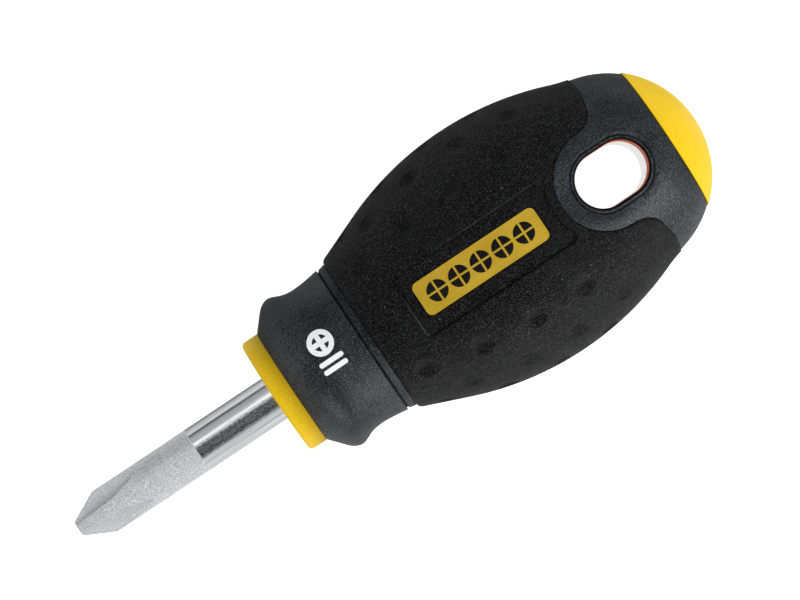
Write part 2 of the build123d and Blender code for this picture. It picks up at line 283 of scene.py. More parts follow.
def rings(x, turn, radii, step):
    """Points on circles round a centre on the handle."""
    made = [[x, turn]]
    for radius in radii:
        count = max(8, int(2 * pi * radius / step))
        for n in range(count):
            angle = 2 * pi * (n + 0.5 * (len(made) % 2)) / count
            made.append([x + radius * cos(angle), turn + radius * sin(angle) / float(form(x))])
    return np.array(made)


def grid(x_low, x_high, step):
    """Evenly spread points over half the handle between two stations."""
    made = []
    height = step * sqrt(3) / 2
    for j in range(int(pi * PLAIN_RADIUS / height) + 1):
        xs = np.arange(x_low + (j % 2) * step / 2, x_high, step)
        made.append(np.column_stack([xs, np.full(len(xs), j * height / PLAIN_RADIUS)]))
    return np.vstack(made)


def thinned(loose, dense, gap):
    """The loose points that keep a gap from every dense one."""
    tree = KDTree(len(dense))
    for n, (x, turn) in enumerate(dense):
        tree.insert((x, turn * PLAIN_RADIUS, 0), n)
    tree.balance()
    kept = [p for p in loose if tree.find((p[0], p[1] * PLAIN_RADIUS, 0))[2] > gap]
    return np.array(kept)


# ---- meshes ----
class Half:
    """Half of a closed solid, on the side where y isn't negative. solid() adds the other half."""

    def __init__(self):
        self.points = np.zeros((0, 3))
        self.faces = []

    def add(self, points):
        start = len(self.points)
        self.points = np.vstack([self.points, points])
        return np.arange(start, len(self.points))

    def strip(self, a, b):
        for n in range(len(a) - 1):
            self.faces.append((a[n], a[n + 1], b[n + 1], b[n]))

    def bands(self, loops):
        """Quads between index loops or new loops of points, one after another."""
        made = [l if np.ndim(l) == 1 else self.add(l) for l in loops]
        for a, b in zip(made[:-1], made[1:]):
            self.strip(a, b)

    def patch(self, lines, dots, place):
        """Triangles over the ring that the lines make. Returns each line's points as indices."""
        ring = np.vstack([line[:-1] for line in lines])
        flat = lambda p: p * (1, PLAIN_RADIUS)
        edge, loose = flat(ring), flat(dots)
        dots = dots[inside(loose[:, 0], loose[:, 1], edge)]
        points = np.vstack([edge, flat(thinned(dots, ring, EDGE_GAP))])
        count = len(edge)
        borders = [(n, (n + 1) % count) for n in range(count)]
        made = delaunay_2d_cdt([Vector(p) for p in points], borders, [], 0, 1e-7)
        where = np.array([tuple(v) for v in made[0]])
        triangles = np.array(made[2])
        middle = where[triangles].mean(axis=1)
        triangles = triangles[inside(middle[:, 0], middle[:, 1], edge)]
        found = {old: new for new, olds in enumerate(made[3]) for old in olds}
        index = self.add(place(where[:, 0], where[:, 1] / PLAIN_RADIUS))
        self.faces += [tuple(index[t]) for t in triangles]
        ends, start = [], 0
        for line in lines:
            picks = [(start + n) % count for n in range(len(line))]
            ends.append(np.array([index[found[p]] for p in picks]))
            start += len(line) - 1
        return ends

    def solid(self, name, replaces, finish):
        points = self.points.copy()
        points[np.abs(points[:, 1]) < 1e-6, 1] = 0
        used = np.zeros(len(points), bool)
        used[[i for f in self.faces for i in f]] = True
        points, renumber = points[used], np.cumsum(used) - 1
        faces = [tuple(renumber[i] for i in f) for f in self.faces]
        other = points * (1, -1, 1)
        twin = np.arange(len(points))
        off = points[:, 1] != 0
        twin[off] = len(points) + np.arange(off.sum())
        both = np.vstack([points, other[off]])
        mirrored = [tuple(twin[i] for i in f[::-1]) for f in faces]
        return piece(name, both, faces + mirrored, replaces, finish)


def new_object(name, data):
    made = bpy.data.objects.new(name, data)
    bpy.context.scene.collection.objects.link(made)
    return made


def mesh_points(mesh):
    """A mesh's points in millimetres."""
    points = np.empty(len(mesh.vertices) * 3)
    mesh.vertices.foreach_get("co", points)
    return points.reshape(-1, 3) / MM


def store(made, name, values):
    """Keep one value per point with a mesh object, for its material to read."""
    made.data.attributes.new(name, "FLOAT", "POINT").data.foreach_set("value", values)


def piece(name, points, faces, replaces, finish):
    """A closed mesh object with outward normals that rides on the root body."""
    mesh = bpy.data.meshes.new(name)
    mesh.from_pydata((np.asarray(points) * MM).tolist(), [], [tuple(map(int, f)) for f in faces])
    work = bmesh.new()
    work.from_mesh(mesh)
    bmesh.ops.dissolve_degenerate(work, dist=1e-8, edges=work.edges)
    bmesh.ops.recalc_face_normals(work, faces=work.faces)
    work.to_mesh(mesh)
    work.free()
    mesh.shade_smooth()
    mesh.materials.append(finish)
    made = new_object(name, mesh)
    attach(made, "root")
    if replaces:
        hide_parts(replaces)
    return made


def rounded(corners, closed):
    """A profile of (x, r) from corners of (x, r, rounding), with close points beside each bend."""
    made = []
    count = len(corners)
    for n, (x, r, radius) in enumerate(corners):
        here = np.array([x, r])
        if radius == 0 or (not closed and n in (0, count - 1)):
            made.append(here)
            continue
        back = np.array(corners[n - 1][:2]) - here
        ahead = np.array(corners[(n + 1) % count][:2]) - here
        back, ahead = back / np.hypot(*back), ahead / np.hypot(*ahead)
        half = np.arccos(np.clip(back @ ahead, -1, 1)) / 2
        reach = radius / tan(half)
        start, end = here + back * reach, here + ahead * reach
        centre = here + (back + ahead) / np.hypot(*(back + ahead)) * radius / sin(half)
        steps = max(3, int(radius * 8) + 4)
        a, b = start - centre, end - centre
        sweep = np.arccos(np.clip(a @ b / radius**2, -1, 1))
        made.append(start + back * BEND_MARGIN * radius)
        for k in range(steps + 1):
            t = k / steps
            made.append(centre + (a * sin((1 - t) * sweep) + b * sin(t * sweep)) / sin(sweep))
        made.append(end + ahead * BEND_MARGIN * radius)
    return np.array(made)


def lathe(name, profile, closed, replaces, finish, count=288):
    """A profile of (x, r) turned about the blade's axis, where r may also be one radius for each
    turn. An open profile ends on the axis."""
    turn = np.arange(count) * 2 * pi / count
    points, loops = [], []
    for x, r in profile:
        size = 1 if np.max(r) < 1e-6 else count
        loops.append(range(len(points), len(points) + size))
        points += polar(np.full(size, x), turn[:size], r).tolist()
    faces = []
    pairs = list(zip(loops[:-1], loops[1:])) + ([(loops[-1], loops[0])] if closed else [])
    for a, b in pairs:
        for n in range(count):
            m = (n + 1) % count
            if len(a) == 1:
                faces.append((a[0], b[m], b[n]))
            elif len(b) == 1:
                faces.append((a[n], a[m], b[0]))
            else:
                faces.append((a[n], a[m], b[m], b[n]))
    return piece(name, points, faces, replaces, finish)


# ---- materials ----
NOISE_LOW, NOISE_HIGH = 0.3, 0.7  # most of a noise's values lie between these
SPECK_CORE = 0.6  # share of a speck's size that is fully covered
BAND_SHADE, BAND_FADE = 0.35, 0.2
# painted shade in the hang hole's rim and in the groove round it
RIM_SHADE, RIM_FADE = 0.9, (0.20, 0.32)
GROOVE_SHADE, GROOVE_FADE = 0.45, (0.08, 0.18)
# painted shade on the collar towards the finger guard
COLLAR_SHADE, COLLAR_FADE = 0.42, (30.1, 32.0)
# where the bore's painted shade gives way to its painted reflection, by height along the hole
BORE_FADE = (5.0, 6.5)
FINISH_CHANGE, FINISH_BLEND = 17.9, (-0.01, 0.14)  # where the blasted front of the blade ends
FINISH_WAVE = 0.2
# shares of the painted light in the blade's flutes and of the painted shade along its upper flank
FLUTE_PAINTED_LIGHT, FLANK_PAINTED_SHADE = 0.22, 0.22
FLANK_Y, FLANK_FADE, FLANK_FRONT = 1.7, (0.3, 1.2), (7.5, 11.0)
HANDLED_Y, HANDLED_FADE = -0.4, (0.6, 1.1)


def grey(tone):
    return (tone, tone, tone)


class Nodes:
    """Adds nodes to a material's or the world's tree. Inputs are plain values or outputs."""

    def __init__(self, tree):
        self.nodes = tree.nodes
        self.links = tree.links

    def put(self, value, socket):
        if isinstance(value, bpy.types.NodeSocket):
            self.links.new(value, socket)
        else:
            socket.default_value = value

    def make(self, kind, inputs, **settings):
        node = self.nodes.new(kind)
        for key, value in settings.items():
            setattr(node, key, value)
        for key, value in inputs.items():
            self.put(value, node.inputs[key])
        return node

    def math(self, operation, a, b=0.0):
        return self.make("ShaderNodeMath", {0: a, 1: b}, operation=operation).outputs[0]

    def plus(self, a, b):
        return self.math("ADD", a, b)

    def minus(self, a, b):
        return self.math("SUBTRACT", a, b)

    def times(self, a, b):
        return self.math("MULTIPLY", a, b)

    def larger(self, a, b):
        return self.math("MAXIMUM", a, b)

    def size(self, value):
        return self.math("ABSOLUTE", value)

    def blend(self, share, a, b):
        """Colour a where share is 0 and b where it is 1."""
        a, b = (c if isinstance(c, bpy.types.NodeSocket) else (*c, 1) for c in (a, b))
        inputs = {"Factor": share, 6: a, 7: b}
        return self.make("ShaderNodeMix", inputs, data_type="RGBA").outputs[2]


class Paint(Nodes):
    """A Principled material whose colour, roughness and bump come from nodes."""

    def __init__(self, name, **constants):
        self.material = bpy.data.materials.new(name)
        self.material.use_nodes = True
        super().__init__(self.material.node_tree)
        self.shader = self.nodes["Principled BSDF"]
        for socket, value in constants.items():
            self.drive(socket.replace("_", " "), value)
        self.place = self.nodes.new("ShaderNodeTexCoord").outputs["Object"]

    def drive(self, socket, value):
        self.put(value, self.shader.inputs[socket])

    def noise(self, per_mm, detail=2.0, rough=0.5, stretch=(1, 1, 1)):
        place = self.make("ShaderNodeMapping", {"Vector": self.place, "Scale": stretch})
        inputs = {"Vector": place.outputs[0], "Scale": per_mm / MM}
        inputs |= {"Detail": detail, "Roughness": rough}
        return self.make("ShaderNodeTexNoise", inputs).outputs["Fac"]

    def spread(self, value, low, high, to_low=0.0, to_high=1.0):
        """Runs from to_low to to_high while the value runs from low to high, and stops there."""
        names = ("Value", "From Min", "From Max", "To Min", "To Max")
        inputs = dict(zip(names, (value, low, high, to_low, to_high)))
        return self.make("ShaderNodeMapRange", inputs).outputs[0]

    def ramp(self, share, low, high):
        return self.spread(share, 0, 1, low, high)

    def uneven(self, noise, low, high):
        return self.spread(noise, NOISE_LOW, NOISE_HIGH, low, high)

    def fade(self, place, near, far, at_near=1.0, at_far=0.0):
        """A share that changes between two places, which are given in millimetres."""
        return self.spread(place, near * MM, far * MM, at_near, at_far)

    def axis(self, letter):
        return self.make("ShaderNodeSeparateXYZ", {"Vector": self.place}).outputs[letter]

    def stored(self, name):
        return self.make("ShaderNodeAttribute", {}, attribute_name=name).outputs["Fac"]

    def specks(self, per_mm, size, share):
        """1 in a few small round specks, 0 elsewhere."""
        inputs = {"Vector": self.place, "Scale": per_mm / MM, "Randomness": 1.0}
        cells = self.make("ShaderNodeTexVoronoi", inputs).outputs
        near = self.spread(cells["Distance"], size * SPECK_CORE, size, 1.0, 0.0)
        pick = self.make("ShaderNodeSeparateColor", {"Color": cells["Color"]}).outputs[0]
        return self.times(near, self.math("LESS_THAN", pick, share))

    def finish(self, colour, roughness, height=None, strength=0.3, depth=0.02):
        self.drive("Base Color", colour)
        self.drive("Roughness", roughness)
        if height is not None:
            inputs = {"Height": height, "Strength": strength, "Distance": depth * MM}
            self.drive("Normal", self.make("ShaderNodeBump", inputs).outputs["Normal"])
        return self.material


def rubber_paint():
    """Black soft rubber: fine speckle and a little dust, with painted shade in its dimples and
    along the panel's right-side line, and a painted highlight along the panel's front and left
    edges.
    """
    paint = Paint("soft_rubber", Specular_IOR_Level=0.13)
    grain = paint.spread(paint.noise(5.8, 1.0, 0.6), 0.525, 0.605)
    colour = paint.blend(grain, (0.0006, 0.0005, 0.0004), (0.0262, 0.0274, 0.0290))
    cloud = paint.spread(paint.noise(0.12, 3.0, 0.55), 0.45, 0.75, 0, 0.5)
    colour = paint.blend(cloud, colour, (0.0085, 0.0088, 0.0092))
    # painted shade in the dimples and along the panel's right-side line
    colour = paint.blend(paint.times(paint.stored(HOLLOWS), 0.8), colour, grey(0.0004))
    # painted highlight along the panel's front and left edges
    colour = paint.blend(paint.stored(PAINTED_EDGE_LIGHT), colour, (0.110, 0.112, 0.118))
    dust = paint.specks(1.0, 0.075, 0.22)
    lint = paint.specks(2.4, 0.10, 0.05)
    pale = paint.larger(dust, paint.times(lint, 0.6))
    colour = paint.blend(paint.times(pale, 0.55), colour, (0.34, 0.34, 0.35))
    roughness = paint.uneven(paint.noise(0.5, 4.0), 0.50, 0.62)
    height = paint.plus(grain, paint.times(paint.noise(1.6, 3.0), 0.7))
    return paint.finish(colour, roughness, height, 0.35, 0.03)


def band_and_rim(paint):
    """Darker in front of the grip, and painted shade in the hang hole's rim and in the groove round
    it.
    """
    band = paint.fade(paint.axis("X"), BAND_REAR, BAND_REAR + BAND_FADE, BAND_SHADE)
    along = paint.size(paint.minus(paint.axis("X"), BALL_X * MM))
    along = paint.larger(paint.minus(along, HOLE_HALF * MM), 0.0)
    across = paint.axis("Y")
    squares = paint.plus(paint.times(along, along), paint.times(across, across))
    near = paint.minus(paint.math("SQRT", squares), HOLE_WIDTH / 2 * MM)
    rim = paint.fade(near, *RIM_FADE, RIM_SHADE)
    off_groove = paint.size(paint.minus(near, RIM_GROOVE * MM))
    groove = paint.fade(off_groove, *GROOVE_FADE, GROOVE_SHADE)
    return paint.larger(band, paint.larger(rim, groove))


def towards_nose(paint):
    """Painted shade, darker where the collar meets the finger guard."""
    return paint.fade(paint.axis("X"), *COLLAR_FADE, 0.0, COLLAR_SHADE)


def plastic_paint(name, dark, light, fine, rough, level, shade=None):
    """Moulded hard plastic with a fine spark-eroded grain. shade gives the share of black painted
    into it: the darker band in front of the grip, and painted shade in the hang hole's rim, its
    groove and the collar's rear.
    """
    paint = Paint(name, Specular_IOR_Level=level)
    grain = paint.noise(fine, 2.0, 0.7)
    cloud = paint.noise(0.15, 3.0, 0.5)
    tone = paint.plus(paint.times(grain, 0.8), paint.times(cloud, 0.2))
    colour = paint.blend(paint.spread(tone, 0.47, 0.59), dark, light)
    if shade:
        black = shade(paint)
        colour = paint.blend(black, colour, grey(0.001))
        paint.drive("Specular IOR Level", paint.ramp(black, level, 0))
    dust = paint.specks(1.0, 0.06, 0.15)
    colour = paint.blend(paint.times(dust, 0.4), colour, grey(0.4))
    roughness = paint.uneven(paint.noise(0.6, 4.0), *rough)
    height = paint.plus(grain, paint.times(paint.noise(1.2, 2.0), 0.5))
    return paint.finish(colour, roughness, height, 0.22, 0.02)


def bore_paint():
    """Core plastic in the hole: dull near the front mouth, moulded glossy behind it. Its colour is
    painted: a deep orange-red near the mouth for the yellow core in shade, and a pale tone behind
    it, a painted reflection of the bright floor on top of the real gloss there.
    """
    paint = Paint("core_yellow")
    deep = paint.fade(paint.axis("Z"), *BORE_FADE)
    paint.drive("Specular IOR Level", paint.ramp(deep, 0.15, 0.8))
    # painted shade: the yellow core in the deep orange-red it shows in shade
    colour = paint.blend(paint.noise(2.0, 3.0), (0.80, 0.10, 0.001), (0.90, 0.20, 0.002))
    # painted reflection: deeper in, a pale tone for the bright floor mirrored there
    colour = paint.blend(deep, colour, (0.70, 0.56, 0.36))
    roughness = paint.plus(paint.ramp(deep, 0.42, 0.08), paint.ramp(paint.noise(0.8), 0, 0.08))
    return paint.finish(colour, roughness, paint.noise(3.0), 0.1, 0.01)


def blasted_steel(paint, on_top):
    """Colour, roughness and height of the dull front, with painted light in its flutes and a band
    of painted shade along its upper flank.
    """
    grain = paint.noise(6.8, 2.0, 0.75)
    colour = paint.blend(paint.spread(grain, 0.36, 0.64), (0.26, 0.26, 0.275), (0.74, 0.75, 0.78))
    cloud = paint.spread(paint.noise(0.5, 3.0, 0.6), 0.35, 0.75, 0, 0.4)
    colour = paint.blend(cloud, colour, (0.50, 0.50, 0.52))
    # painted light in the flutes
    flute_light = paint.times(paint.stored(HOLLOWS), FLUTE_PAINTED_LIGHT)
    colour = paint.blend(flute_light, colour, (0.80, 0.81, 0.84))
    # painted shade along the upper flank
    flank = paint.size(paint.minus(paint.axis("Y"), FLANK_Y * MM))
    flank = paint.fade(flank, *FLANK_FADE, FLANK_PAINTED_SHADE)
    flank = paint.times(flank, paint.fade(paint.axis("X"), *FLANK_FRONT, 0.0, 1.0))
    colour = paint.blend(paint.times(flank, on_top), colour, (0.10, 0.10, 0.11))
    return colour, paint.uneven(grain, 0.58, 0.70), grain


def chromed_steel(paint, on_top):
    """Colour, roughness and height of the bright rear, scuffed and pitted along its top."""
    turned = paint.noise(3.0, 4.0, 0.65, (0.05, 1, 1))
    across = paint.size(paint.minus(paint.axis("Y"), HANDLED_Y * MM))
    handled = paint.times(paint.fade(across, *HANDLED_FADE), on_top)
    scuff = paint.times(paint.noise(5.5, 3.0, 0.75, (0.3, 1, 1)), handled)
    colour = paint.blend(paint.spread(turned, 0.35, 0.65), (0.80, 0.81, 0.83), (0.97, 0.98, 1.0))
    scratch = paint.spread(paint.noise(1.4, 5.0, 0.75, (0.03, 1.6, 1.6)), 0.62, 0.67)
    colour = paint.blend(paint.times(scratch, 0.35), colour, (0.42, 0.42, 0.43))
    pits = paint.spread(paint.noise(8.0, 3.0, 0.75, (0.28, 1, 1)), 0.48, 0.60)
    colour = paint.blend(paint.times(pits, handled), colour, (0.22, 0.22, 0.23))
    height = paint.plus(paint.times(turned, 0.9), paint.times(scuff, 1.6))
    return colour, paint.uneven(turned, 0.05, 0.12), height


def steel_paint():
    """One steel bar: sand-blasted to the finish change, bright chrome behind it."""
    paint = Paint("blade_steel")
    x = paint.plus(paint.axis("X"), paint.times(paint.noise(3.0, 2.0), FINISH_WAVE * MM))
    start, end = (FINISH_CHANGE + d for d in FINISH_BLEND)
    bright = paint.fade(x, start, end, 0.0, 1.0)
    dull = paint.minus(1.0, bright)
    on_top = paint.math("GREATER_THAN", paint.axis("Z"), 0.0)
    front, rear = blasted_steel(paint, on_top), chromed_steel(paint, on_top)
    paint.drive("Metallic", paint.ramp(bright, 0.15, 1.0))
    colour = paint.blend(bright, front[0], rear[0])
    roughness, height = (
        paint.plus(paint.times(a, dull), paint.times(b, bright))
        for a, b in zip(front[1:], rear[1:])
    )
    return paint.finish(colour, roughness, height, 0.5, 0.03)


def gold_paint():
    """Foil-printed label: satin gold with a fine brushed line along it."""
    paint = Paint("label_gold", Metallic=0.25, Specular_IOR_Level=0.5)
    brushed = paint.noise(3.0, 4.0, 0.6, (0.15, 1, 1))
    cloud = paint.spread(paint.noise(0.25, 3.0, 0.5), 0.4, 0.7, 0, 0.4)
    colour = paint.blend(brushed, (0.45, 0.28, 0.012), (0.63, 0.41, 0.022))
    colour = paint.blend(cloud, colour, (0.66, 0.45, 0.04))
    return paint.finish(colour, paint.uneven(brushed, 0.30, 0.45), brushed, 0.15, 0.01)


def ink_paint(name, dark, light, level):
    """Pad-printed ink with a slightly uneven film."""
    paint = Paint(name, Specular_IOR_Level=level)
    film = paint.noise(2.5, 4.0, 0.6)
    colour = paint.blend(paint.uneven(film, 0.0, 1.0), dark, light)
    return paint.finish(colour, paint.uneven(film, 0.38, 0.52), film, 0.15, 0.01)


RUBBER = rubber_paint()
GREY = plastic_paint(
    "body_grey", (0.0005, 0.0009, 0.0012), (0.0395, 0.0490, 0.0570), 5.8, (0.42, 0.5), 0.32,
    band_and_rim,
)
NOSE = plastic_paint(
    "nose_grey", (0.0005, 0.0008, 0.0011), (0.0400, 0.0480, 0.0550), 5.8, (0.42, 0.5), 0.34
)
DOME = plastic_paint(
    "cap_yellow", (0.80, 0.52, 0.0010), (0.88, 0.575, 0.0020), 4.0, (0.36, 0.44), 0.12
)
COLLAR = plastic_paint(
    "collar_yellow", (0.70, 0.45, 0.007), (0.83, 0.55, 0.016), 5.0, (0.42, 0.52), 0.15,
    towards_nose,
)
BORE = bore_paint()
STEEL = steel_paint()
GOLD = gold_paint()
BLACK_INK = ink_paint("label_ink", grey(0.003), grey(0.008), 0.15)
WHITE_INK = ink_paint("mark_ink", (0.78, 0.80, 0.84), (0.90, 0.92, 0.95), 0.5)


# ---- blade ----
WING_ROUND = 0.10  # rounding of the edges between the flutes
SEARCH_RADIUS, HALVINGS = 3.6, 26
TIP_RINGS, TIP_BEVEL, TANG_BEVEL = (0.33, 0.75, 0.94), 0.02, 0.6
# where the painted light in the flutes ends, and how deep into a flute it grows to full strength
FLUTES_END, FLUTE_LIGHT_FADE = 12.0, 0.25


def bar_radius(x):
    """Radius of the plain bar at x, before the flutes are milled."""
    cone_end = TIP_CHAMFER_END + (SHAFT_RADIUS - TIP_CHAMFER) / tan(CONE_ANGLE)
    return np.interp(x, [0, TIP_CHAMFER_END, cone_end], [TIP_FLAT, TIP_CHAMFER, SHAFT_RADIUS])


def flute_floor(x, beside):
    """Distance from the axis to a flute's surface, at a distance beside its middle."""
    rise = beside / tan(FLUTE_HALF)
    reach = FLUTE_FLOOR + FLUTE_STRAIGHT * tan(FLUTE_SLOPE)
    centre_x = FLUTE_STRAIGHT - FLUTE_CUTTER * sin(FLUTE_SLOPE)
    centre = reach + FLUTE_CUTTER * cos(FLUTE_SLOPE)
    straight = FLUTE_FLOOR + x * tan(FLUTE_SLOPE) + rise
    cut = np.maximum((FLUTE_CUTTER - rise) ** 2 - (x - centre_x) ** 2, 0)
    return np.where(x < FLUTE_STRAIGHT, straight, centre - np.sqrt(cut))


def tip_radius(x, turn):
    """Radius of the fluted bar at each turn."""
    lean = pi / 4 - np.abs((turn + pi / 4) % (pi / 2) - pi / 4)
    low, high = np.zeros(len(turn)), np.full(len(turn), SEARCH_RADIUS)
    for _ in range(HALVINGS):
        middle = (low + high) / 2
        clear = middle * np.cos(lean) < flute_floor(x, middle * np.sin(lean))
        low, high = np.where(clear, middle, low), np.where(clear, high, middle)
    bar = np.full(len(turn), float(bar_radius(x)))
    return -soft_max(-bar, -low, WING_ROUND)


def tang_radius(x, turn):
    """Radius of the hexagonal tang with its two flat wings."""
    side = (turn + pi / 6) % (pi / 3) - pi / 6
    radius = TANG_FLATS / 2 / np.cos(side)
    if WING_START <= x <= WING_END:
        span = WING_SPAN / 2 / np.maximum(np.abs(np.sin(turn)), 1e-6)
        thick = WING_THICKNESS / 2 / np.maximum(np.abs(np.cos(turn)), 1e-6)
        radius = np.maximum(radius, np.minimum(span, thick))
    return radius


def blade_loops(turn):
    """(x, radii) of the bar's loops, from the tip's flat to the end of the tang."""
    stations = [
        *np.linspace(0, TIP_CHAMFER_END, 5), *np.arange(0.25, 3.8, 0.14),
        *np.arange(3.82, 4.15, 0.05), *np.arange(4.25, 10.6, 0.14), *np.arange(10.8, 29.3, 0.9),
    ]
    loops = [(0.0, share * tip_radius(0.0, turn)) for share in TIP_RINGS]
    loops += [(x, tip_radius(x, turn)) for x in np.maximum(stations, TIP_BEVEL)]
    loops += [
        (SHAFT_END - 0.1, SHAFT_RADIUS), (SHAFT_END - 0.02, SHAFT_RADIUS),
        (SHAFT_END, NECK_RADIUS), (SHAFT_END + 0.1, NECK_RADIUS),
        (TANG_START - 0.05, NECK_RADIUS), (TANG_START, NECK_RADIUS),
    ]
    stops = (TANG_START + 0.02, WING_START - 0.01, WING_START, WING_END, WING_END + 0.01)
    loops += [(x, tang_radius(x, turn)) for x in stops]
    end = tang_radius(TANG_END, turn)
    return loops + [(TANG_END - TANG_BEVEL, end), (TANG_END, end - TANG_BEVEL)]


def build_blade(count=400):
    turn = np.arange(count) * 2 * pi / count
    loops = [(0.0, 0.0), *blade_loops(turn), (TANG_END, 0.0)]
    bar = lathe("blade_bar", loops, False, "blade", STEEL, count)
    x, y, z = mesh_points(bar.data).T
    # how deep each point lies in a flute, for the painted light there
    flute_light = np.clip((bar_radius(x) - np.hypot(y, z)) / FLUTE_LIGHT_FADE, 0, 1)
    store(bar, HOLLOWS, np.where(x < FLUTES_END, flute_light, 0))


# ---- rings and rounds ----
SHAFT_GAP, COLLAR_EDGES = 0.02, (0.12, 0.10)
NOSE_EDGE, NOSE_MOUTH = 0.12, 7.7
CAP_EDGE = ((0.12, 0.085), (0.05, 0.08), (0.01, 0.14), (0, 0.25))  # rounding behind the dome


def node_profile(name, floor_radius):
    """(x, r) rows of a turned CAD node's outside, read from its mesh."""
    x, y, z = mesh_points(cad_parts[name].data).T
    radius = np.hypot(y, z)
    outer = radius > floor_radius
    stations = {}
    for at, r in zip(x[outer].round(3), radius[outer]):
        stations[at] = max(stations.get(at, 0), r)
    return np.array(sorted(stations.items()))


def smooth_rows(table, at):
    """Cubic interpolation of (x, r) rows."""
    x, r = table.T
    slope = np.gradient(r, x)
    k = np.clip(np.searchsorted(x, at) - 1, 0, len(x) - 2)
    h = x[k + 1] - x[k]
    t = (at - x[k]) / h
    return (
        (2 * t**3 - 3 * t**2 + 1) * r[k] + (t**3 - 2 * t**2 + t) * h * slope[k]
        + (3 * t**2 - 2 * t**3) * r[k + 1] + (t**3 - t**2) * h * slope[k + 1]
    )


def build_collar():
    bore = SHAFT_RADIUS + SHAFT_GAP
    corners = [
        (SHAFT_END, bore, COLLAR_EDGES[0]), (SHAFT_END, COLLAR_RADIUS, COLLAR_ROUND),
        (COLLAR_REAR, COLLAR_RADIUS, COLLAR_EDGES[1]), (COLLAR_REAR, SPIGOT_RADIUS, 0),
        (TANG_START, SPIGOT_RADIUS, 0), (TANG_START, bore, 0),
    ]
    lathe("front_ring", rounded(corners, True), True, "front_collar", COLLAR)


def build_nose():
    """The finger guard: its profile follows the CAD node's, up to a rounded rear edge."""
    table = node_profile("nose_sleeve", COLLAR_RADIUS - 0.2)
    last = NOSE_REAR - NOSE_EDGE
    stations = np.concatenate([np.arange(COLLAR_REAR, 36.5, 0.15), np.arange(36.6, NOSE_REAR, 0.4)])
    stations = np.append(stations[stations < last], last)
    outline = np.column_stack([stations, smooth_rows(table, stations)])
    end_radius = float(table[-1, 1])
    corner = [
        (NOSE_REAR - NOSE_EDGE * (1 - sin(a)), end_radius - NOSE_EDGE * (1 - cos(a)))
        for a in np.linspace(radians(15), pi / 2, 6)
    ]
    inner = [(NOSE_REAR, NOSE_BORE), (COLLAR_REAR, NOSE_BORE), (COLLAR_REAR, NOSE_MOUTH)]
    profile = np.vstack([outline, corner, inner])
    lathe("finger_guard", profile, True, "nose_sleeve", NOSE)


def build_dome():
    rim = sqrt(BALL_RADIUS**2 - (CAP_FRONT - BALL_X) ** 2)
    start = asin((CAP_FRONT - BALL_X) / BALL_RADIUS)
    profile = [(BALL_X + BALL_RADIUS, 0)]
    for a in np.linspace(pi / 2, start, 60)[1:-1]:
        profile.append((BALL_X + BALL_RADIUS * sin(a), BALL_RADIUS * cos(a)))
    profile += [(CAP_FRONT + behind, rim - inward) for behind, inward in CAP_EDGE]
    profile += [(CAP_FRONT, CAP_SPIGOT + 0.1), (CAP_FRONT, CAP_SPIGOT)]
    profile += [(CORE_REAR, CAP_SPIGOT), (CORE_REAR, 0)]
    lathe("rear_dome", np.array(profile), False, "end_cap", DOME)


# ---- body shell ----
EDGE = tail_edge(LINE_STEP)
U_FRONT = U_CENTRE_X - U_RADIUS
TAIL_RING = np.vstack([[[U_FRONT, -1.0]], EDGE, [[U_FRONT, 4.0], [95.0, 4.0], [95.0, -1.0]]])
BAND_STATIONS = (
    GROOVE_REAR - 0.01, GROOVE_REAR, GROOVE_REAR + 0.03, GROOVE_REAR + 0.1, 43.3,
    BAND_REAR - 0.08, BAND_REAR - 0.03, BAND_REAR, BAND_REAR + 0.01,
)
HOLE_ROWS = (0.03, 0.08, 0.15, 0.25, 0.35, 0.4, 0.46, 0.52, 0.6, 0.66, 0.72, 0.82, 1.0)


def shell_place(x, turn):
    """The hard moulding's outside: band, the layer under the grip, and the tail round the hole."""
    share = (x - GROOVE_REAR) / (BAND_REAR - GROOVE_REAR)
    band = BAND_FRONT_RADIUS + share * (BAND_REAR_RADIUS - BAND_FRONT_RADIUS)
    band = band - lip(x - GROOVE_REAR, BAND_LIPS[0]) - lip(BAND_REAR - x, BAND_LIPS[1])
    radius = np.where(x < GROOVE_REAR - HAIR, GROOVE_RADIUS, band)
    radius = np.where(x > BAND_REAR + HAIR, form(x, GRIP_THICKNESS), radius)
    depth = away(x, turn, EDGE)
    in_tail = inside(x, turn, TAIL_RING) | (depth < HAIR)
    tail = form(x, TAIL_SINK) - lip(depth, TAIL_LIP * flat_share(turn))
    tail -= lip(CAP_FRONT - x, CAP_LIP)
    made = polar(x, turn, np.where(in_tail, tail, radius))
    near = np.maximum(hole_distance(made[:, 0], made[:, 1]), 0)
    dish = np.cos(np.clip(near / DISH_WIDTH, 0, 1) * pi / 2) ** 2
    sink = lip(near, RIM_ROUND) + DISH_DEPTH * dish
    beside = np.clip(np.abs(near - RIM_GROOVE) / RIM_GROOVE_HALF, 0, 1)
    sink += RIM_GROOVE_DEPTH * np.cos(beside * pi / 2) ** 2
    made[:, 2] -= np.sign(made[:, 2]) * np.where(in_tail & (near < DISH_REACH), sink, 0)
    return made


def shell_outline(rim, in_front, behind):
    """The half shell's ring of lines, with a hole's rim on both sides and counts of points."""
    front, rear = rim[-1, 0], rim[0, 0]
    return [
        run((NOSE_REAR, 0), (NOSE_REAR, pi), 100),
        run((NOSE_REAR, pi), (front, pi), in_front),
        to_back(rim),
        run((rear, pi), (CAP_FRONT, pi), behind),
        run((CAP_FRONT, pi), (CAP_FRONT, 0), 120),
        run((CAP_FRONT, 0), (rear, 0), behind),
        rim,
        run((front, 0), (NOSE_REAR, 0), in_front),
    ]


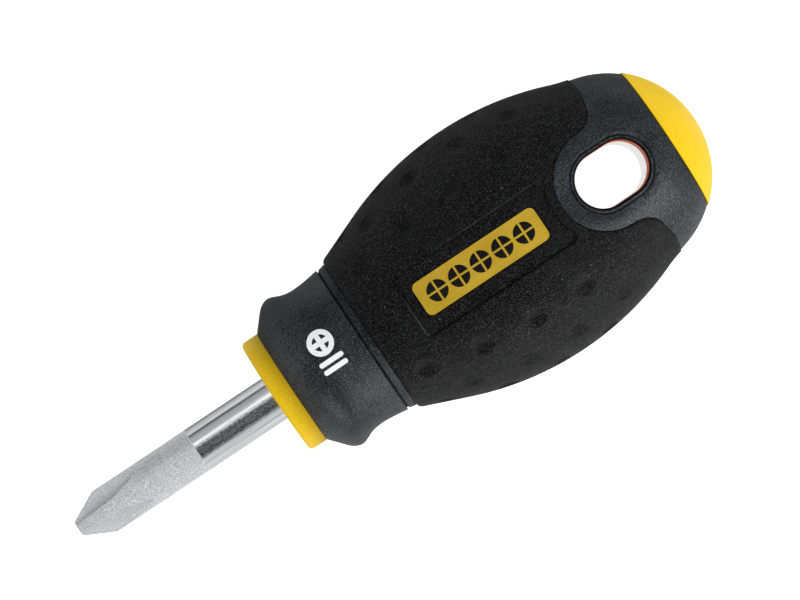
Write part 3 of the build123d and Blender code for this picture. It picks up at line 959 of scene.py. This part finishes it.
def shell_dots():
    """Points over the shell: rows along its edges, fine on the tail, coarse below the grip."""
    dense = [across(x, 100) for x in BAND_STATIONS]
    dense += [across(CAP_FRONT - d, 120) for d in (0.03, 0.07, 0.12, 0.25)]
    dense.append(rows(EDGE, (-0.02, 0.0, 0.03, 0.08, 0.16, 0.30)))
    for d in HOLE_ROWS:
        line = onto(hole_edge(d), TAIL_SINK)
        dense += [line, to_back(line)]
    dense = np.vstack(dense)
    fine = thinned(grid(GROOVE_REAR, CAP_FRONT, FINE_STEP), dense, 0.22)
    fine = fine[inside(fine[:, 0], fine[:, 1], TAIL_RING)]
    coarse = thinned(grid(BAND_REAR + 0.5, GRIP_REAR, 1.4), np.vstack([dense, fine]), 0.7)
    return np.vstack([dense, fine, coarse])


def build_shell():
    half = Half()
    rim = onto(hole_edge(), TAIL_SINK)
    outer = half.patch(shell_outline(rim, 90, 12), shell_dots(), shell_place)
    bore_rim = hole_edge(BOSS_WALL)
    bore_rim = np.column_stack([bore_rim[:, 0], np.arcsin(bore_rim[:, 1] / CORE_RADIUS)])
    in_place = lambda x, turn: polar(x, turn, CORE_RADIUS)
    dots = grid(NOSE_REAR + 1, CAP_FRONT - 1, 2.0)
    inner = half.patch(shell_outline(bore_rim, 40, 6), dots, in_place)
    for at in (0, 4):
        half.strip(outer[at], inner[at])
    for at, side in ((2, -1), (6, 1)):
        walls = []
        for grow in (0, BOSS_WALL):
            wall = np.column_stack([hole_edge(grow), np.full(len(rim), side * BOSS_HEIGHT)])
            walls.append(wall[::side])
        half.bands([outer[at], *walls, inner[at]])
    half.solid("hard_shell", "body_shell", GREY)


# ---- grip ----
PANEL = panel_edge(LINE_STEP)
PLATE_LINE = plate_edge(LINE_STEP)
FRONT_ROWS = (0.04, 0.1, 0.18, 0.28, 0.4, 0.55)
DIMPLE_RINGS = (0.3, 0.6, 0.85, 1.05, 1.2, 1.32, 1.45, 1.65)


def dimple_centres():
    for row, angle in enumerate(DIMPLE_ANGLES):
        for n in range(DIMPLE_COUNT):
            yield DIMPLE_STARTS[row % 2] + n * DIMPLE_PITCH, radians(angle)


def grip_place(x, turn):
    """The soft moulding's outside, with lips, dimples, sunk panel and the gap round the plate."""
    radius = form(x)
    sink = np.zeros(len(x))
    for cx, cturn in dimple_centres():
        far = np.hypot(x - cx, (turn - cturn) * radius)
        ball = np.sqrt(np.maximum(DIMPLE_RADIUS**2 - far**2, 0)) - DIMPLE_RADIUS
        depth = soft_max(ball + DIMPLE_SOFT_DEPTH, 0 * ball, DIMPLE_BLEND)
        sink += depth * (far < DIMPLE_REACH)
    panel_in = inside(x, turn, closed(PANEL))
    panel_away = away(x, turn, PANEL) * np.where(panel_in, 1, -1)
    sink += PANEL_SINK * np.clip(panel_away / PANEL_EDGE / 2 + 0.5, 0, 1)
    line_away = np.abs(panel_away - PANEL_LINE_IN)
    sink += PANEL_LINE_DEPTH * np.clip(1 - line_away / PANEL_LINE, 0, 1)
    plate_in = inside(x, turn, closed(PLATE_LINE))
    plate_away = away(x, turn, PLATE_LINE) * np.where(plate_in, -1, 1)
    sink += PLATE_GAP_DEPTH * np.clip(1 - plate_away / PLATE_GAP, 0, 1) ** PLATE_GAP_CURVE
    sink += lip(x - BAND_REAR, FRONT_LIP) + lip(away(x, turn, EDGE), REAR_LIP * flat_share(turn))
    return polar(x, turn, radius - sink)


def mark_grip(grip):
    """Store each point's painted shade, by how deep it lies in a dimple or in the line along the
    panel's right side, and the painted highlight along the panel's front and left edges."""
    x, y, z = mesh_points(grip.data).T
    turn = np.arctan2(np.abs(y), z)
    on_face = (z > 0) & (np.abs(y) < PANEL_HALF + 1)
    on_front = x < PANEL_FRONT + PANEL_FRONT_ZONE
    panel_away = away(x, turn, PANEL)
    # painted shade only along the panel's edge on the -y side, where its wall faces away from the
    # side lights
    deep = np.clip(1 - panel_away / PANEL_LINE, 0, 1) * (on_face & (y < 0) & ~on_front)
    for cx, cturn in dimple_centres():
        far = np.hypot(x - cx, (turn - cturn) * form(x))
        deep = np.maximum(deep, HOLLOW_SHADE * np.clip(HOLLOW_RADIUS - far, 0, 1))
    store(grip, HOLLOWS, deep)
    # painted highlight along the panel's front and left edges
    near = np.clip(1 - panel_away / EDGE_LIGHT_WIDTH, 0, 1) * on_face
    front = EDGE_LIGHT_FRONT * on_front * np.clip(0.5 - y / EDGE_LIGHT_FRONT_FADE, 0, 1)
    left = np.clip((x - EDGE_LIGHT_LEFT_X) / EDGE_LIGHT_LEFT_FADE, 0, 1) * (y > EDGE_LIGHT_LEFT_Y)
    store(grip, PAINTED_EDGE_LIGHT, near * np.maximum(front, EDGE_LIGHT_LEFT * left))


def build_grip():
    half = Half()
    u_front = float(EDGE[0, 0])
    outline = [
        across(BAND_REAR, 130),
        run((BAND_REAR, pi), (u_front, pi), 76),
        EDGE[::-1],
        run((u_front, 0), (BAND_REAR, 0), 76),
    ]
    dense = [across(BAND_REAR + d, 130) for d in FRONT_ROWS]
    dense.append(rows(EDGE, (-0.03, -0.07, -0.13, -0.2, -0.3, -0.45)))
    dense.append(rows(PANEL, (-0.16, -0.09, -0.045, 0.0, 0.045, 0.09, 0.16)))
    dense.append(rows(PLATE_LINE, (-0.14, -0.09, -0.04, 0.0, 0.1)))
    dense += [rings(cx, cturn, DIMPLE_RINGS, 0.36) for cx, cturn in dimple_centres()]
    dense = np.vstack(dense)
    dense = dense[(dense[:, 1] > 0.001) & (dense[:, 1] < pi - 0.001)]
    loose = thinned(grid(BAND_REAR, GRIP_REAR, FINE_STEP), dense, 0.2)
    ends = half.patch(outline, np.vstack([dense, loose]), grip_place)
    in_place = lambda x, turn: polar(x, turn, form(x, GRIP_THICKNESS))
    inner_ends = half.patch(outline, grid(BAND_REAR + 1, GRIP_REAR, 1.5), in_place)
    for at in (0, 2):
        half.strip(ends[at], inner_ends[at])
    mark_grip(half.solid("soft_grip", "grip", RUBBER))


# ---- nameplate and its print ----
HEADS, HEAD_RADIUS, HEAD_PITCH, SLOT_HALF = 5, 1.36, 3.16, 0.14
PRINT_LEVELS = (-0.02, 0.035)  # the ink's underside and top, measured from the plate's form


def build_plate():
    half = Half()
    line = plate_edge(0.15)

    def top(x, turn):
        near = away(x, turn, line)
        rim = PLATE_RIM_RISE * np.clip(1 - (near - PLATE_RIM_WIDTH) / PLATE_RIM_SLOPE, 0, 1)
        return polar(x, turn, form(x, PLATE_SINK) + rim - lip(near, PLATE_LIP))

    under = lambda x, turn: polar(x, turn, form(x, PLATE_FLOOR))
    outline = [line, run(line[-1], line[0], 90)]
    dense = rows(line, (0.02, 0.05, 0.1, 0.16, 0.21, 0.28))
    dense = dense[dense[:, 1] > 0.001]
    loose = thinned(grid(line[0, 0], line[-1, 0], 0.4), dense, 0.15)
    ends = half.patch(outline, np.vstack([dense, loose]), top)
    under_ends = half.patch(outline, grid(line[0, 0], line[-1, 0], 1.5), under)
    half.strip(ends[0], under_ends[0])
    half.solid("label_plate", "nameplate", GOLD)


def head_quarter():
    """Plan outline of a quarter of a screw head, between two arms of its cross."""
    reach = sqrt(HEAD_RADIUS**2 - SLOT_HALF**2)
    start = asin(SLOT_HALF / HEAD_RADIUS)
    edge = [(SLOT_HALF, SLOT_HALF), (reach, SLOT_HALF)]
    for a in np.linspace(start, pi / 2 - start, 14)[1:-1]:
        edge.append((HEAD_RADIUS * cos(a), HEAD_RADIUS * sin(a)))
    return edge + [(SLOT_HALF, reach)]


def build_print():
    """Five black screw heads, each a disc with a cross left open, printed on the plate."""
    points, faces = [], []
    for k in range(HEADS):
        centre_x = PLATE_X + (k - (HEADS - 1) / 2) * HEAD_PITCH
        for sx, sy in ((1, 1), (-1, 1), (-1, -1), (1, -1)):
            outline = np.array([(centre_x + sx * px, sy * py) for px, py in head_quarter()])
            first, count = len(points), len(outline)
            for lift in PRINT_LEVELS:
                r = form(outline[:, 0], PLATE_SINK) + lift
                z = np.sqrt(r**2 - outline[:, 1] ** 2)
                points += np.column_stack([outline, z]).tolist()
            for n in range(1, count - 1):
                faces.append((first, first + n, first + n + 1))
                faces.append((first + count, first + count + n + 1, first + count + n))
            for n in range(count):
                m = (n + 1) % count
                faces.append((first + n, first + m, first + count + m, first + count + n))
    piece("label_print", points, faces, None, BLACK_INK)


build_blade()
build_collar()
build_nose()
build_dome()
build_shell()
build_grip()
build_plate()
build_print()
for node, finish in (("core", BORE), ("tip_mark", WHITE_INK)):
    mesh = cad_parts[node].data
    mesh.materials.clear()
    mesh.materials.append(finish)

# ---- floor ----
FLOOR_REACH, FLOOR_GAP, FLOOR_GLOW = 6.0, 0.0001, 0.9
floor_z = Vector(cad_box[0]).z - FLOOR_GAP
floor_mesh = bpy.data.meshes.new("studio_floor")
square = ((-1, -1), (1, -1), (1, 1), (-1, 1))
corners = [(sx * FLOOR_REACH, sy * FLOOR_REACH, floor_z) for sx, sy in square]
floor_mesh.from_pydata(corners, [], [(0, 1, 2, 3)])
floor = new_object("studio_floor", floor_mesh)
paint = Paint("studio_floor", Specular_IOR_Level=0.0)
floor_tone = paint.blend(paint.noise(0.01, 2.0), grey(0.90), grey(0.92))
paint.drive("Emission Color", (1, 1, 1, 1))
paint.drive("Emission Strength", FLOOR_GLOW)
floor_rough = paint.uneven(paint.noise(0.02, 2.0), 0.85, 0.95)
floor_mesh.materials.append(paint.finish(floor_tone, floor_rough))
floor.visible_glossy = False

# ---- light, in metres ----
LOOK_AT = Vector((0.0493, 0.00155, 0.0))


def area_light(name, place, size, power, glossy, only=()):
    """A softbox that faces the object. One that isn't glossy leaves no mark on shiny surfaces."""
    data = bpy.data.lights.new(name, "AREA")
    data.shape = "RECTANGLE"
    data.size, data.size_y = size
    data.energy = power
    lamp = new_object(name, data)
    lamp.location = LOOK_AT + Vector(place)
    lamp.rotation_euler = (-Vector(place)).to_track_quat("-Z", "Y").to_euler()
    lamp.visible_camera = False
    lamp.visible_glossy = glossy
    if only:
        lit = bpy.data.collections.new(name + "_reach")
        for part in only:
            lit.objects.link(bpy.data.objects[part])
        lamp.light_linking.receiver_collection = lit


area_light("top_softbox", (0.20, -0.42, 0.78), (0.9, 0.9), 8.3, False)
area_light("side_softbox", (0.05, -0.55, 0.27), (1.2, 0.40), 6.0, True, ("hard_shell",))
area_light("nose_softbox", (-0.14, -0.55, 0.27), (1.2, 0.40), 3.9, True, ("finger_guard",))
area_light("grip_softbox", (0.10, -0.60, 0.00), (1.2, 0.20), 2.8, True, ("soft_grip",))
area_light("blade_fill", (-0.35, 0.40, 0.45), (0.5, 0.5), 0.7, False, ("blade_bar",))

# The tent runs along the tool. Its top is an open dark gap with a bright panel beside it, and the
# side that the softboxes stand on is the brighter one. Angles go round the tool from straight up.
TENT = (
    (-180, 1.0), (-175, 1.0), (-172, 0.17), (-138, 0.25), (-120, 0.46), (-94, 0.62), (-89, 0.50),
    (-84, 0.14), (-79, 0.06), (-74, 0.24), (-68, 0.34), (-42, 0.42), (-38, 0.52), (-34, 0.88),
    (-31, 1.08), (-27, 0.92), (-19, 0.46), (-11, 0.19), (0, 0.08), (19, 0.19), (28, 0.07),
    (45, 0.12), (53, 0.42), (58, 0.52), (76, 0.60), (84, 0.46), (90, 0.50), (97, 0.72), (108, 0.63),
    (172, 0.58), (175, 1.0), (180, 1.0),
)
TENT_PEAK, TENT_STRENGTH = 1.3, 1.42
TENT_ENDS, END_TONE, BACKDROP_TONE = ((0.75, 0.0), (0.95, 1.0)), 0.44, 0.71

world = bpy.data.worlds.new("light_tent")
bpy.context.scene.world = world
world.use_nodes = True
tent = Nodes(world.node_tree)


def tent_ramp(value, stops):
    """A tone for each value, from (value, tone) stops."""
    node = tent.make("ShaderNodeValToRGB", {0: value})
    elements = node.color_ramp.elements
    while len(elements) < len(stops):
        elements.new(0.5)
    for element, (at, tone) in zip(elements, stops):
        element.position = at
        element.color = (*grey(tone), 1)
    return node.outputs[0]


direction = tent.make("ShaderNodeTexCoord", {}).outputs["Generated"]
split = tent.make("ShaderNodeSeparateXYZ", {"Vector": direction}).outputs
swing = tent.math("ARCTAN2", tent.times(split["Y"], -1.0), split["Z"])
round_tone = tent_ramp(
    tent.plus(tent.math("DIVIDE", swing, 2 * pi), 0.5),
    [((angle + 180) / 360, tone / TENT_PEAK) for angle, tone in TENT],
)
tone = tent.blend(tent_ramp(tent.size(split["X"]), TENT_ENDS), round_tone, grey(END_TONE))
seen = tent.make("ShaderNodeLightPath", {}).outputs["Is Camera Ray"]
background = tent.nodes["Background"].inputs
tent.put(tent.blend(seen, tone, grey(BACKDROP_TONE)), background["Color"])
tent.put(TENT_STRENGTH, background["Strength"])

# ---- camera ----
CAMERA_SWING, CAMERA_HEIGHT = radians(33.67), 0.65
SENSOR, LENS = 36.0, 234.0

camera_data = bpy.data.cameras.new("camera")
camera_data.sensor_width = SENSOR
camera_data.lens = LENS
camera_data.clip_start = 0.02
camera_data.clip_end = 20.0
camera = new_object("camera", camera_data)
right = Vector((cos(CAMERA_SWING), -sin(CAMERA_SWING), 0))
up = Vector((sin(CAMERA_SWING), cos(CAMERA_SWING), 0))
axes = Matrix((right, up, right.cross(up))).transposed().to_4x4()
camera.matrix_world = Matrix.Translation(LOOK_AT + Vector((0, 0, CAMERA_HEIGHT))) @ axes
bpy.context.scene.camera = camera
bpy.context.scene.view_settings.view_transform = "Standard"
